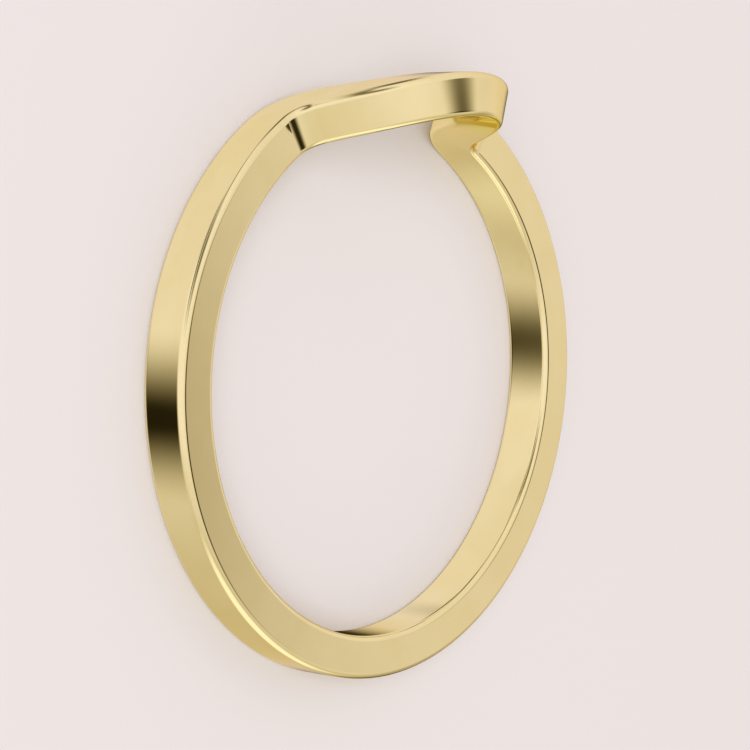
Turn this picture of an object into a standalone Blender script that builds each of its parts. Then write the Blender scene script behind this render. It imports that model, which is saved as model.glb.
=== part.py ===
"""Curved ring: a plain band with flat walls, whose top bows out of its plane in one rounded arch.

The band has a rectangular section with rounded edges. Its centre line is drawn on the unrolled
cylinder of the ring, as arcs and straight lines, with the crown's bend easing off into the slope,
and is then wrapped round the finger axis. The ring lies on its flat back edge: +Z is the finger
axis, and +Y points to the middle of the arch.
"""

import math

import bmesh
import bpy

MM = 0.001

# Driving dimensions, in metres and radians
INSIDE_DIAMETER = 17.3 * MM
BAND_THICKNESS = 1.44 * MM
BAND_WIDTH = 1.68 * MM
EDGE_RADIUS = 0.20 * MM
CROWN_RADIUS = 3.46 * MM
CROWN_EASE = 1.52 * MM
SLOPE_ANGLE = math.radians(57.3)
SLOPE_LENGTH = 0.59 * MM
SHOULDER_RADIUS = 1.86 * MM

# How finely the stretches are divided
CROWN_STEPS = 9
CROWN_EASE_STEPS = 5
SLOPE_STEPS = 2
SHOULDER_STEPS = 10
SHANK_STEPS = 96
EDGE_STEPS = 3
MOVES_PER_STEP = 40

# Sizes that follow from the driving ones
INSIDE_RADIUS = INSIDE_DIAMETER / 2
OUTSIDE_RADIUS = INSIDE_RADIUS + BAND_THICKNESS
MIDDLE_RADIUS = INSIDE_RADIUS + BAND_THICKNESS / 2
HALF_WIDTH = BAND_WIDTH / 2

GOLD_COLOUR = (0.94, 0.79, 0.46, 1.0)
GOLD_ROUGHNESS = 0.12


def stretches():
    """The half arch from its middle down: each stretch's length, first and last bend, and steps.

    A bend is one over the radius, and below zero where the line levels out again.
    """
    crown = 1 / CROWN_RADIUS
    shoulder = -1 / SHOULDER_RADIUS
    crown_arc = CROWN_RADIUS * SLOPE_ANGLE - CROWN_EASE / 2
    shoulder_arc = SHOULDER_RADIUS * SLOPE_ANGLE
    return (
        (crown_arc, crown, crown, CROWN_STEPS),
        (CROWN_EASE, crown, 0.0, CROWN_EASE_STEPS),
        (SLOPE_LENGTH, 0.0, 0.0, SLOPE_STEPS),
        (shoulder_arc, shoulder, shoulder, SHOULDER_STEPS),
    )


def arch_half():
    """Centre line from the middle of the arch to the shank, as (along, rise, lean) stations.

    Along is measured on the unrolled middle cylinder, rise along the finger axis, and lean is the
    angle by which the line falls. The line is followed in short moves, each at its middle lean.
    """
    along = 0.0
    drop = 0.0
    lean = 0.0
    followed = [(along, drop, lean)]
    for length, first_bend, last_bend, steps in stretches():
        moves = steps * MOVES_PER_STEP
        move = length / moves
        for count in range(1, moves + 1):
            bend = first_bend + (last_bend - first_bend) * (count - 0.5) / moves
            middle_lean = lean + bend * move / 2
            along += math.cos(middle_lean) * move
            drop += math.sin(middle_lean) * move
            lean += bend * move
            if count % MOVES_PER_STEP == 0:
                followed.append((along, drop, lean))
    arch_rise = drop
    return [(along, arch_rise - drop, lean) for along, drop, lean in followed]


def centre_line():
    """Stations of the whole closed centre line, once round the finger."""
    half = arch_half()
    shoulder_end = half.pop()[0]
    round_middle = 2 * math.pi * MIDDLE_RADIUS
    shank_length = round_middle - 2 * shoulder_end
    shank = []
    for step in range(SHANK_STEPS + 1):
        shank.append((shoulder_end + shank_length * step / SHANK_STEPS, 0.0, 0.0))
    other_half = [(round_middle - along, rise, -lean) for along, rise, lean in reversed(half[1:])]
    return half + shank + other_half


def section_points(station):
    """The four corners of the band's section at one station, in world space.

    The section stands across the centre line, so the band keeps its width along the slopes.
    """
    along, rise, lean = station
    points = []
    for side, radius in (
        (-1, INSIDE_RADIUS),
        (-1, OUTSIDE_RADIUS),
        (1, OUTSIDE_RADIUS),
        (1, INSIDE_RADIUS),
    ):
        offset = side * HALF_WIDTH
        angle = (along + offset * math.sin(lean)) / MIDDLE_RADIUS
        height = HALF_WIDTH + rise + offset * math.cos(lean)
        points.append((radius * math.sin(angle), radius * math.cos(angle), height))
    return points


def polished_gold():
    """Polished yellow gold."""
    material = bpy.data.materials.new("polished_gold")
    material.use_nodes = True
    shader = material.node_tree.nodes["Principled BSDF"]
    shader.inputs["Base Color"].default_value = GOLD_COLOUR
    shader.inputs["Metallic"].default_value = 1.0
    shader.inputs["Roughness"].default_value = GOLD_ROUGHNESS
    return material


def curved_band():
    """The ring: the section swept round the centre line, with its four long edges rounded."""
    shape = bmesh.new()
    rings = []
    for station in centre_line():
        rings.append([shape.verts.new(point) for point in section_points(station)])
    corners = len(rings[0])
    for here, ahead in zip(rings, rings[1:] + rings[:1]):
        for corner in range(corners):
            following = (corner + 1) % corners
            shape.faces.new((here[corner], here[following], ahead[following], ahead[corner]))
    bmesh.ops.recalc_face_normals(shape, faces=shape.faces)

    mesh = bpy.data.meshes.new("curved_band")
    shape.to_mesh(mesh)
    shape.free()
    mesh.shade_smooth()
    mesh.set_sharp_from_angle(angle=math.radians(40))
    mesh.materials.append(polished_gold())

    band = bpy.data.objects.new("curved_band", mesh)
    bpy.context.scene.collection.objects.link(band)
    edges = band.modifiers.new("rounded_edges", "BEVEL")
    edges.width = EDGE_RADIUS
    edges.segments = EDGE_STEPS
    edges.limit_method = "ANGLE"
    edges.angle_limit = math.radians(60)
    edges.use_clamp_overlap = False
    return band


for old in list(bpy.data.objects):
    bpy.data.objects.remove(old, do_unlink=True)

curved_band()
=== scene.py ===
"""Looks of the curved ring: a fine polished gold band in place of the plain solid, on a pale floor.

The band is the solid's own shape drawn finely: the same section swept round the same centre line,
with rounded edges of many small facets. The ring lies on its flat back edge, and the camera looks
at it from the photograph's side, so the arch is at the top of the picture.
"""

import math

import bpy
import numpy as np
from mathutils import Matrix, Vector


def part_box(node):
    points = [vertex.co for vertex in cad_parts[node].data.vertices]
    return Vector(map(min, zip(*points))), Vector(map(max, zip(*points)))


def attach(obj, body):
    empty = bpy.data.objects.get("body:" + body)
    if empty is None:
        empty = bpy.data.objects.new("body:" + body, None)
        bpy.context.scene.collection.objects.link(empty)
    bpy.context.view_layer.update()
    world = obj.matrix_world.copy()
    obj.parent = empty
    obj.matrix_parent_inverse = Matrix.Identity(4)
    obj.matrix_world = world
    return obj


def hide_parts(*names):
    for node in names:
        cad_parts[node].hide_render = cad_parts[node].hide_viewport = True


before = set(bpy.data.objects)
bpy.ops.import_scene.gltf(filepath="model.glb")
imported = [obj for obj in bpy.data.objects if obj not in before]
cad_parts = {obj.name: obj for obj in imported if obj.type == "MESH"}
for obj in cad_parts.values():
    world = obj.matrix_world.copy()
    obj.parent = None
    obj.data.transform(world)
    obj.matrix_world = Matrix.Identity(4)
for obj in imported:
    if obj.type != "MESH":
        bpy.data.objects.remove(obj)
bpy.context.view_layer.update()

# Lengths are in metres, unless a comment says otherwise
MM = 0.001
MICRON = 0.001 * MM

# Sizes of the band, as the solid has them, but for the edges, which follow the photograph's lights
OUTSIDE_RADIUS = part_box("curved_band")[1].x
BAND_THICKNESS = 1.44 * MM
BAND_WIDTH = 1.68 * MM
CROWN_RADIUS = 3.46 * MM
CROWN_EASE = 1.52 * MM
SLOPE_ANGLE = math.radians(57.3)
SLOPE_LENGTH = 0.59 * MM
SHOULDER_RADIUS = 1.86 * MM
INSIDE_EDGE_RADIUS = 0.195 * MM
OUTSIDE_EDGE_RADIUS = 0.215 * MM

# Sizes that follow
INSIDE_RADIUS = OUTSIDE_RADIUS - BAND_THICKNESS
MIDDLE_RADIUS = OUTSIDE_RADIUS - BAND_THICKNESS / 2
HALF_WIDTH = BAND_WIDTH / 2

# How finely the band is drawn
CROWN_STEPS = 36
CROWN_EASE_STEPS = 24
SLOPE_STEPS = 8
SHOULDER_STEPS = 44
SHANK_STEPS = 240
MOVES_PER_STEP = 20
EDGE_STEPS = 10
FLAT_STEPS = 3

# Gold: its usual colour, the deeper one of places without smears, the paler one of worn edges,
# and a darker one painted on the arch's finger side as painted shade. The grazing ones hold where
# plain metal would turn white.
GOLD = (0.970, 0.850, 0.490, 1.0)
GOLD_DEEP = (0.935, 0.805, 0.440, 1.0)
# Painted shade: the darker gold that stands for shade on the arch's finger side
GOLD_PAINTED_SHADE = (0.90, 0.79, 0.38, 1.0)
GOLD_WORN = (0.975, 0.870, 0.540, 1.0)
GOLD_GRAZING = (0.92, 0.80, 0.55, 1.0)
# Painted shade: the grazing colour of that darker gold
GOLD_PAINTED_SHADE_GRAZING = (0.86, 0.79, 0.34, 1.0)

# Shares of the arch's rise between which its finger side takes on the painted shade, a darker gold
PAINTED_SHADE_RISE = (0.50, 0.80)

# How rough the polish is, and how much the fine marks add
ROUGH_CLEAN = 0.045
ROUGH_SMEARED = 0.075
ROUGH_LINES = 0.05
ROUGH_HAIRS = 0.03
ROUGH_WORN = 0.04

# The fine relief, in thousandths of a millimetre
LINE_HEIGHT = 0.16
HAIR_DEPTH = 0.05
SWELL_HEIGHT = 3.0
NICK_HEIGHT = 0.30

# The fine marks, as noises: the scales in 1/mm, the seed, the detail and any distortion.
# The polishing lines have a place in the section, and not a seed, as their fourth coordinate.
LINE_SCALES = (0.5, 0.5, 14.0)
LINE_DETAIL = 3.0
HAIRS_ALONG_X = ((0.6, 2.6, 4.0), 11.0, 1.0)
PATCHES_ALONG_X = ((0.9, 0.9, 0.9), 16.0, 1.0)
HAIRS_ALONG_Y = ((2.4, 0.7, 3.0), 17.0, 1.0)
PATCHES_ALONG_Y = ((0.9, 0.9, 0.9), 22.0, 1.0)
SMEARS = ((0.55, 0.55, 0.8), 3.0, 4.0, 0.4)
SWELL = ((0.35, 0.35, 0.5), 8.0, 1.0)
GRIT = ((9.0, 9.0, 9.0), 1.0, 2.0)

# A noise's middle, and how far from it the noise may be within a hairline
NOISE_MIDDLE = 0.5
HAIR_WIDTH = 0.012

# The values of a noise between which each mark goes from none of it to all of it
HAIR_PATCHES = (0.52, 0.66)
SMEAR_COLOUR = (0.3, 0.7)
SMEAR_GLOSS = (0.25, 0.75)
WORN_GRIT = (0.35, 0.7)

# The share of the paler colour where an edge is most worn
WORN_PALENESS = 0.6

# The photograph's camera, as seen from its aim in the ring's middle. Turns go from +X towards +Y,
# and the lens and the sensor are in millimetres.
CAMERA_AIM = (0.034 * MM, 0.045 * MM, 0.874 * MM)
CAMERA_DISTANCE = 86.05 * MM
CAMERA_TURN = math.radians(173.73)
CAMERA_HEIGHT_ANGLE = math.radians(39.74)
CAMERA_ROLL = math.radians(0.14)
CAMERA_LENS = 122.99
CAMERA_SENSOR = 36.0
CAMERA_NEAR = 5 * MM
CAMERA_FAR = 5.0

# The floor, and the lamp that stands far off on the camera's side of it
FLOOR_RADIUS = 0.9
FLOOR_SIDES = 96
FLOOR_COLOUR = (0.81, 0.765, 0.765, 1.0)
FLOOR_ROUGHNESS = 0.9
FLOOR_GLOSS = 0.1
FLOOR_LAMP_TURN = math.radians(172)
FLOOR_LAMP_HEIGHT_ANGLE = math.radians(46)
FLOOR_LAMP_DISTANCE = 0.80
FLOOR_LAMP_SIZE = 0.50
FLOOR_LAMP_POWER = 2.60
FLOOR_LAMP_COLOUR = (0.94, 1.0, 1.10)

# The studio round the ring, with the picture's top, +Y, as its upright. Its heights are angles over
# the level, its turns go from +Z towards +X, and both are in degrees.
PICTURE_TOP = Vector((0, 1, 0))
TABLE_TONE = (1.12, 1.11, 1.01, 1.0)
LOW_TONE = (0.59, 0.53, 0.40, 1.0)
HIGH_TONE = (0.85, 0.79, 0.75, 1.0)

# How far up a direction points, as a share, where one tone goes over into the next
TABLE_TO_LOW = (-0.94, -0.71)
LOW_TO_HIGH = (-0.95, -0.15)

# Two round lights in the high tone: the turn and height of the middle, and the angles from the
# middle at which the light is full and gone, in degrees
LAMP_TONE = (0.97, 0.92, 0.93, 1.0)
LAMP_MIDDLE = (-64.5, 7)
LAMP_ANGLES = (34, 88)
WINDOW_TONE = (0.87, 0.85, 1.02, 1.0)
WINDOW_MIDDLE = (138, 28)
WINDOW_ANGLES = (0, 28)

# Dark flags, as soft ovals: turn and height of the middle, half length, half width and roll in
# degrees, then the softness of the rim and the darkness of the middle, as shares. The last one is
# a pale card, which brightens instead.
FLAGS = (
    (-140, -10.5, 26, 13.5, -6, 0.80, 0.98),
    (30.5, -8.5, 14, 12.3, 20, 0.65, 0.97),
    (-94, 40.5, 24, 5.5, -54, 0.40, 0.98),
    (-122, 49, 12, 12, 60, 0.40, 0.33),
    (-88, 63, 27, 5, -55, 0.80, 0.78),
    (-56, 36.5, 18, 12, -54, 0.80, 0.80),
    (137, 48, 14, 5, 79, 0.40, 1.0),
    (145, 75, 10, 11.5, -9, 0.75, 0.88),
    (128.5, -4, 16, 12.5, -15, 0.80, 0.96),
    (115, -33, 20.5, 7, 72, 0.90, 0.97),
    (81, -35, 28, 11, -50, 0.95, 0.38),
    (-60, -43, 22, 10, 0, 0.90, -0.13),
)

# Powers of the light left by the flags in red, green and blue, so that the shade is warm
FLAG_WARMTH = (1.0, 1.05, 1.3)


def follow(stretches):
    """Along, drop and lean at the stations of some stretches that start level.

    Each stretch is its length, its first and last bend, and its steps. A bend is one over the
    radius, and below zero where the line levels out again. The line is followed in short moves,
    each at its middle lean.
    """
    moves = []
    bends = []
    for length, first_bend, last_bend, steps in stretches:
        count = steps * MOVES_PER_STEP
        share = (np.arange(count) + 0.5) / count
        moves.append(np.full(count, length / count))
        bends.append(first_bend + (last_bend - first_bend) * share)
    move = np.concatenate(moves)
    turned = np.concatenate(bends) * move
    lean = np.cumsum(turned)
    middle_lean = lean - turned / 2
    along = np.cumsum(np.cos(middle_lean) * move)
    drop = np.cumsum(np.sin(middle_lean) * move)
    followed = np.stack([along, drop, lean])[:, MOVES_PER_STEP - 1::MOVES_PER_STEP]
    return np.concatenate([np.zeros((3, 1)), followed], 1)


def centre_line():
    """Along, rise and lean of the closed centre line's stations, as three arrays.

    The line starts at the shank's middle, goes over the arch and comes back: a level shank, the
    shoulder, a straight slope and the eased crown, and the same again in mirror image.
    """
    crown = 1 / CROWN_RADIUS
    shoulder = -1 / SHOULDER_RADIUS
    arch = follow((
        (CROWN_RADIUS * SLOPE_ANGLE - CROWN_EASE / 2, crown, crown, CROWN_STEPS),
        (CROWN_EASE, crown, 0.0, CROWN_EASE_STEPS),
        (SLOPE_LENGTH, 0.0, 0.0, SLOPE_STEPS),
        (SHOULDER_RADIUS * SLOPE_ANGLE, shoulder, shoulder, SHOULDER_STEPS),
    ))
    reach, arch_rise, level = arch[:, -1]
    shank = np.linspace(reach, math.pi * MIDDLE_RADIUS, SHANK_STEPS + 1)[1:]
    along = np.concatenate([arch[0], shank])
    rise = np.concatenate([arch_rise - arch[1], np.zeros(SHANK_STEPS)])
    lean = np.concatenate([arch[2], np.full(SHANK_STEPS, level)])
    return (
        np.concatenate([-along[:0:-1], along[:-1]]),
        np.concatenate([rise[:0:-1], rise[:-1]]),
        np.concatenate([-lean[:0:-1], lean[:-1]]),
    )


def section_outline():
    """Points of the rounded section with their directions along the outline and their edge shares.

    Each row is (offset, radius, offset direction, radius direction, edge), anticlockwise.
    """
    corners = (
        (1, INSIDE_RADIUS, 1, INSIDE_EDGE_RADIUS, -90),
        (1, OUTSIDE_RADIUS, -1, OUTSIDE_EDGE_RADIUS, 0),
        (-1, OUTSIDE_RADIUS, -1, OUTSIDE_EDGE_RADIUS, 90),
        (-1, INSIDE_RADIUS, 1, INSIDE_EDGE_RADIUS, 180),
    )
    arcs = []
    for side, wall, inward, edge, start in corners:
        arc = []
        for step in range(EDGE_STEPS + 1):
            turned = math.radians(start + 90 * step / EDGE_STEPS)
            offset = side * (HALF_WIDTH - edge) + edge * math.cos(turned)
            radius = wall + inward * edge + edge * math.sin(turned)
            share = math.sin(math.pi * step / EDGE_STEPS)
            arc.append((offset, radius, -math.sin(turned), math.cos(turned), share))
        arcs.append(arc)
    outline = []
    for arc, following in zip(arcs, arcs[1:] + arcs[:1]):
        outline += arc
        end, start = arc[-1], following[0]
        for step in range(1, FLAT_STEPS):
            part = step / FLAT_STEPS
            offset = end[0] + (start[0] - end[0]) * part
            radius = end[1] + (start[1] - end[1]) * part
            outline.append((offset, radius, end[2], end[3], 0.0))
    return np.array(outline)


def band_surface():
    """Points and true normals of the band, one row per station, and its fields for the marks.

    Each station carries the section, which stands across the centre line on the unrolled band.
    The fields are, at each point: "loop", with the way along the band as a place on a level circle
    and the way across as a height over it, in millimetres; "depth", the distance from the finger
    axis, in millimetres; "edge", from 0 on the flats to 1 on the middle of a rounded edge; and
    "within", the share of painted shade, a darker gold, on the arch's finger side.
    """
    along, rise, lean = (column[:, None] for column in centre_line())
    section = (column[None, :] for column in section_outline().T)
    offset, radius, offset_way, radius_way, edge = section
    angle = (along + offset * np.sin(lean)) / MIDDLE_RADIUS
    height = HALF_WIDTH + rise + offset * np.cos(lean)
    level = np.zeros_like(angle)
    outward = np.stack([np.sin(angle), np.cos(angle), level], -1)
    sideward = np.stack([np.cos(angle), -np.sin(angle), level], -1)
    sideward = sideward * radius[..., None] / MIDDLE_RADIUS
    upward = np.array([0.0, 0.0, 1.0])
    points = outward * radius[..., None] + upward * height[..., None]

    lean = lean[..., None]
    ahead = sideward * np.cos(lean) - upward * np.sin(lean)
    across = sideward * np.sin(lean) + upward * np.cos(lean)
    round_way = across * offset_way[..., None] + outward * radius_way[..., None]
    normals = np.cross(ahead, round_way)
    normals /= np.linalg.norm(normals, axis=-1, keepdims=True)

    stations = len(points)
    turned = 2 * math.pi * np.arange(stations)[:, None] / stations
    loop = np.zeros_like(points)
    loop[..., 0] = MIDDLE_RADIUS / MM * np.cos(turned)
    loop[..., 1] = MIDDLE_RADIUS / MM * np.sin(turned)
    loop[..., 2] = offset / MM
    # Painted shade: the arch's finger side, high on the arch, gets a share of darker gold
    facing_finger = np.clip(-np.sum(normals * outward, -1), 0, 1)
    fields = {
        "loop": loop,
        "depth": np.broadcast_to(radius / MM, angle.shape),
        "edge": np.broadcast_to(edge, angle.shape),
        "painted_shade": np.interp(rise / rise.max(), PAINTED_SHADE_RISE, (0, 1)) * facing_finger,
    }
    return points, normals, fields


def band_faces(stations, around):
    """Four-sided faces, facing outwards, between the points of each station and of the next one."""
    faces = []
    for here in range(stations):
        following = (here + 1) % stations
        for side in range(around):
            beside = (side + 1) % around
            faces.append((
                here * around + side,
                following * around + side,
                following * around + beside,
                here * around + beside,
            ))
    return faces


def placed(name, data):
    """A new object in the scene, with a mesh, lamp or camera as its data."""
    thing = bpy.data.objects.new(name, data)
    bpy.context.scene.collection.objects.link(thing)
    return thing


def polished_band(material):
    """The band, with the normals of the true round surface and its fields at every vertex."""
    points, normals, fields = band_surface()
    mesh = bpy.data.meshes.new("polished_band")
    mesh.from_pydata(points.reshape(-1, 3).tolist(), [], band_faces(*points.shape[:2]))
    mesh.shade_smooth()
    mesh.normals_split_custom_set_from_vertices(normals.reshape(-1, 3).tolist())
    for name, values in fields.items():
        kind, part = ("FLOAT_VECTOR", "vector") if values.ndim == 3 else ("FLOAT", "value")
        attribute = mesh.attributes.new(name, kind, "POINT")
        attribute.data.foreach_set(part, values.astype(np.float32).ravel())
    mesh.materials.append(material)
    return placed("polished_band", mesh)


class Nodes:
    """Short forms for the nodes of one tree, where a value is a number or another node's output."""

    def __init__(self, tree):
        self.tree = tree

    def add(self, kind):
        """A new shader node."""
        return self.tree.nodes.new("ShaderNode" + kind)

    def feed(self, socket, value):
        """Links an output to a socket, or sets a number or colour on the socket itself."""
        if isinstance(value, bpy.types.NodeSocket):
            self.tree.links.new(value, socket)
        else:
            socket.default_value = value

    def math(self, operation, *values):
        """One operation on one or two values."""
        node = self.add("Math")
        node.operation = operation
        for socket, value in zip(node.inputs, values):
            self.feed(socket, value)
        return node.outputs[0]

    def plus(self, value, *marks):
        """A value with some marks added, each one times its amount."""
        for mark, amount in marks:
            value = self.math("ADD", value, self.math("MULTIPLY", mark, amount))
        return value

    def dot(self, vector, axis):
        """How far a vector points along an axis."""
        node = self.add("VectorMath")
        node.operation = "DOT_PRODUCT"
        self.feed(node.inputs[0], vector)
        self.feed(node.inputs[1], axis)
        return node.outputs["Value"]

    def stretched(self, vector, scales):
        """A vector times another, axis by axis."""
        node = self.add("VectorMath")
        node.operation = "MULTIPLY"
        self.feed(node.inputs[0], vector)
        self.feed(node.inputs[1], scales)
        return node.outputs["Vector"]

    def step(self, value, start, end, low=0.0, high=1.0):
        """Low before start, high after end, and a smooth change between."""
        node = self.add("MapRange")
        node.interpolation_type = "SMOOTHSTEP"
        self.feed(node.inputs["Value"], value)
        self.feed(node.inputs["From Min"], start)
        self.feed(node.inputs["From Max"], end)
        self.feed(node.inputs["To Min"], low)
        self.feed(node.inputs["To Max"], high)
        return node.outputs["Result"]

    def mix(self, share, first, second):
        """A colour that goes from the first to the second with the share."""
        node = self.add("Mix")
        node.data_type = "RGBA"
        self.feed(node.inputs["Factor"], share)
        self.feed(node.inputs["A"], first)
        self.feed(node.inputs["B"], second)
        return node.outputs["Result"]

    def noise(self, place, scales, fourth, detail, distortion=0.0):
        """Noise from 0 to 1, mostly near its middle. The fourth coordinate may be a seed."""
        node = self.add("TexNoise")
        node.noise_dimensions = "4D"
        self.feed(node.inputs["Vector"], self.stretched(place, scales))
        self.feed(node.inputs["W"], fourth)
        self.feed(node.inputs["Scale"], 1.0)
        self.feed(node.inputs["Detail"], detail)
        self.feed(node.inputs["Distortion"], distortion)
        return node.outputs["Fac"]

    def attribute(self, name, output="Fac"):
        """A field of the mesh."""
        node = self.add("Attribute")
        node.attribute_name = name
        return node.outputs[output]


def hairlines(nodes, place, hairs, patches):
    """Faint hairlines: thin contours of one noise, kept only in the patches of another."""
    off_contour = nodes.math("SUBTRACT", nodes.noise(place, *hairs), NOISE_MIDDLE)
    thin = nodes.step(nodes.math("ABSOLUTE", off_contour), 0.0, HAIR_WIDTH, 1.0, 0.0)
    patch = nodes.step(nodes.noise(place, *patches), *HAIR_PATCHES)
    return nodes.math("MULTIPLY", thin, patch)


def polished_gold():
    """Polished yellow gold: fine polishing lines along the band, hairlines, smears, worn edges and
    painted shade, a darker gold, on the arch's finger side.

    The polishing lines are drawn in the band's "loop" and "depth" fields, so that they follow it
    over the arch with no seam. The other marks are drawn in the object's own coordinates.
    """
    material = bpy.data.materials.new("polished_gold")
    material.use_nodes = True
    nodes = Nodes(material.node_tree)
    shader = material.node_tree.nodes["Principled BSDF"]
    place = nodes.stretched(nodes.add("TexCoord").outputs["Object"], (1 / MM, 1 / MM, 1 / MM))
    edge = nodes.attribute("edge")
    # The share of painted shade on the arch's finger side
    painted_shade = nodes.attribute("painted_shade")

    fourth = nodes.math("MULTIPLY", nodes.attribute("depth"), LINE_SCALES[2])
    lines = nodes.noise(nodes.attribute("loop", "Vector"), LINE_SCALES, fourth, LINE_DETAIL)
    hairs = nodes.math(
        "MAXIMUM",
        hairlines(nodes, place, HAIRS_ALONG_X, PATCHES_ALONG_X),
        hairlines(nodes, place, HAIRS_ALONG_Y, PATCHES_ALONG_Y),
    )
    smears = nodes.noise(place, *SMEARS)
    swell = nodes.noise(place, *SWELL)
    grit = nodes.noise(place, *GRIT)
    worn = nodes.math("MULTIPLY", edge, nodes.step(grit, *WORN_GRIT))
    nicks = nodes.math("MULTIPLY", edge, grit)

    tone = nodes.mix(nodes.step(smears, *SMEAR_COLOUR), GOLD_DEEP, GOLD)
    tone = nodes.mix(nodes.math("MULTIPLY", worn, WORN_PALENESS), tone, GOLD_WORN)
    # Painted shade: a darker gold on the arch's finger side
    tone = nodes.mix(painted_shade, tone, GOLD_PAINTED_SHADE)
    nodes.feed(shader.inputs["Base Color"], tone)
    nodes.feed(shader.inputs["Metallic"], 1.0)
    # Painted shade: its grazing colour as well
    grazing = nodes.mix(painted_shade, GOLD_GRAZING, GOLD_PAINTED_SHADE_GRAZING)
    nodes.feed(shader.inputs["Specular Tint"], grazing)

    rough = nodes.step(smears, *SMEAR_GLOSS, ROUGH_CLEAN, ROUGH_SMEARED)
    uneven = nodes.math("SUBTRACT", lines, NOISE_MIDDLE)
    rough = nodes.plus(rough, (uneven, ROUGH_LINES), (hairs, ROUGH_HAIRS), (worn, ROUGH_WORN))
    nodes.feed(shader.inputs["Roughness"], rough)

    height = nodes.math("MULTIPLY", lines, LINE_HEIGHT)
    height = nodes.plus(height, (hairs, -HAIR_DEPTH), (swell, SWELL_HEIGHT), (nicks, NICK_HEIGHT))
    bump = nodes.add("Bump")
    nodes.feed(bump.inputs["Height"], height)
    nodes.feed(bump.inputs["Strength"], 1.0)
    nodes.feed(bump.inputs["Distance"], MICRON)
    nodes.feed(shader.inputs["Normal"], bump.outputs["Normal"])
    return material


def pale_floor():
    """A large round floor of plain pale paper, level with the ring's back edge."""
    material = bpy.data.materials.new("pale_paper")
    material.use_nodes = True
    shader = material.node_tree.nodes["Principled BSDF"]
    shader.inputs["Base Color"].default_value = FLOOR_COLOUR
    shader.inputs["Roughness"].default_value = FLOOR_ROUGHNESS
    shader.inputs["Specular IOR Level"].default_value = FLOOR_GLOSS
    corners = []
    for side in range(FLOOR_SIDES):
        angle = 2 * math.pi * side / FLOOR_SIDES
        corners.append((FLOOR_RADIUS * math.cos(angle), FLOOR_RADIUS * math.sin(angle), 0.0))
    mesh = bpy.data.meshes.new("floor")
    mesh.from_pydata(corners, [], [tuple(range(FLOOR_SIDES))])
    mesh.materials.append(material)
    floor = placed("floor", mesh)
    floor.visible_glossy = False


def over_floor(turn, height):
    """The direction at a turn from +X towards +Y and an angle over the floor, both in radians."""
    level = math.cos(height)
    return Vector((level * math.cos(turn), level * math.sin(turn), math.sin(height)))


def floor_lamp():
    """A large soft lamp that brightens the floor and isn't seen in the gold."""
    data = bpy.data.lights.new("floor_lamp", "AREA")
    data.shape = "DISK"
    data.size = FLOOR_LAMP_SIZE
    data.energy = FLOOR_LAMP_POWER
    data.color = FLOOR_LAMP_COLOUR
    lamp = placed("floor_lamp", data)
    direction = over_floor(FLOOR_LAMP_TURN, FLOOR_LAMP_HEIGHT_ANGLE)
    lamp.location = FLOOR_LAMP_DISTANCE * direction
    lamp.rotation_euler = direction.to_track_quat("Z", "Y").to_euler()
    lamp.visible_glossy = False
    lamp.visible_camera = False


def camera():
    """The photograph's camera, with the arch's side, +Y, up in the picture."""
    data = bpy.data.cameras.new("camera")
    data.lens = CAMERA_LENS
    data.sensor_width = CAMERA_SENSOR
    data.clip_start = CAMERA_NEAR
    data.clip_end = CAMERA_FAR
    back = over_floor(CAMERA_TURN, CAMERA_HEIGHT_ANGLE)
    right = PICTURE_TOP.cross(back).normalized()
    up = back.cross(right)
    facing = Matrix((right, up, back)).transposed() @ Matrix.Rotation(CAMERA_ROLL, 3, "Z")
    place = Vector(CAMERA_AIM) + CAMERA_DISTANCE * back
    viewer = placed("camera", data)
    viewer.matrix_world = Matrix.Translation(place) @ facing.to_4x4()
    bpy.context.scene.camera = viewer


def toward(turn, height):
    """The direction at a turn and a height in the studio, in degrees."""
    turn = math.radians(turn)
    height = math.radians(height)
    level = math.cos(height)
    return Vector((math.sin(turn) * level, math.sin(height), math.cos(turn) * level))


def round_light(nodes, way, middle, angles):
    """The share of a round light in each direction, which is full about its middle."""
    full, gone = angles
    angle = nodes.math("ARCCOSINE", nodes.dot(way, toward(*middle)))
    return nodes.step(angle, math.radians(full), math.radians(gone), 1.0, 0.0)


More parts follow.
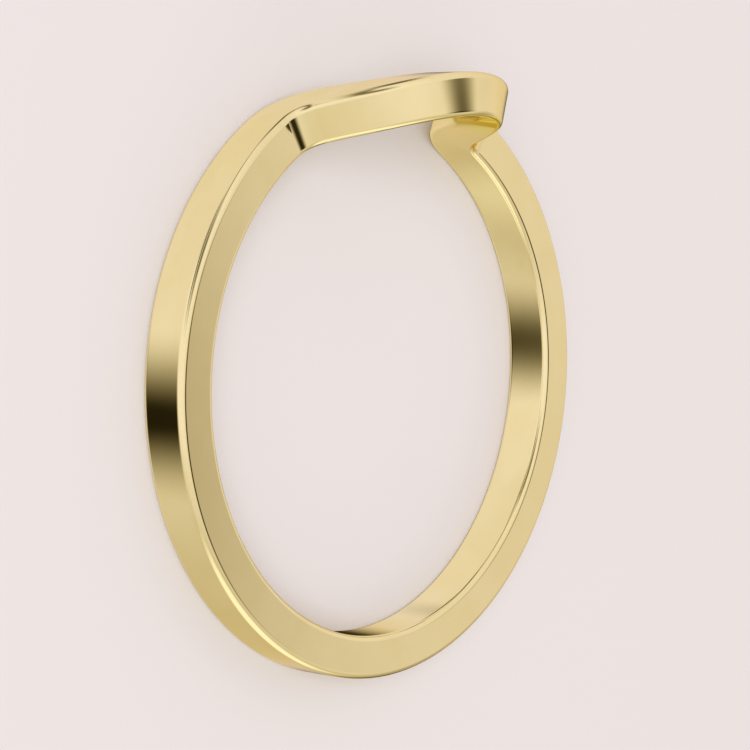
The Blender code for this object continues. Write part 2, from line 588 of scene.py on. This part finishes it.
def flag_light(nodes, way, flag):
    """The share of the light that passes one soft oval flag, in each direction."""
    turn, height, half_length, half_width, roll, softness, darkness = flag
    middle = toward(turn, height)
    lengthways = PICTURE_TOP.cross(middle).normalized()
    lengthways.rotate(Matrix.Rotation(math.radians(roll), 3, middle))
    widthways = middle.cross(lengthways)
    squares = []
    for axis, half in ((lengthways, half_length), (widthways, half_width)):
        angle = nodes.math("ARCSINE", nodes.dot(way, axis))
        share = nodes.math("MULTIPLY", angle, 1 / math.radians(half))
        squares.append(nodes.math("POWER", share, 2.0))
    reach = nodes.math("SQRT", nodes.math("ADD", *squares))
    shade = nodes.step(reach, 1 - softness, 1 + softness, darkness, 0.0)
    front = nodes.math("GREATER_THAN", nodes.dot(way, middle), 0.0)
    return nodes.math("SUBTRACT", 1.0, nodes.math("MULTIPLY", shade, front))


def studio_light():
    """A soft studio all round: a broad lamp, a cool window, a bright table and soft dark flags."""
    world = bpy.data.worlds.new("studio")
    world.use_nodes = True
    nodes = Nodes(world.node_tree)
    way = nodes.add("TexCoord").outputs["Generated"]
    upright = nodes.dot(way, PICTURE_TOP)
    lamp = round_light(nodes, way, LAMP_MIDDLE, LAMP_ANGLES)
    window = round_light(nodes, way, WINDOW_MIDDLE, WINDOW_ANGLES)
    high = nodes.mix(window, nodes.mix(lamp, HIGH_TONE, LAMP_TONE), WINDOW_TONE)
    tone = nodes.mix(nodes.step(upright, *LOW_TO_HIGH), LOW_TONE, high)
    tone = nodes.mix(nodes.step(upright, *TABLE_TO_LOW), TABLE_TONE, tone)
    light = 1.0
    for flag in FLAGS:
        light = nodes.math("MULTIPLY", light, flag_light(nodes, way, flag))
    shade = nodes.add("CombineXYZ")
    for socket, power in zip(shade.inputs, FLAG_WARMTH):
        nodes.feed(socket, nodes.math("POWER", light, power))
    background = world.node_tree.nodes["Background"]
    nodes.feed(background.inputs["Color"], nodes.stretched(tone, shade.outputs["Vector"]))
    bpy.context.scene.world = world


bpy.context.scene.view_settings.view_transform = "Standard"
band = polished_band(polished_gold())
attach(band, "root")
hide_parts("curved_band")
pale_floor()
floor_lamp()
studio_light()
camera()
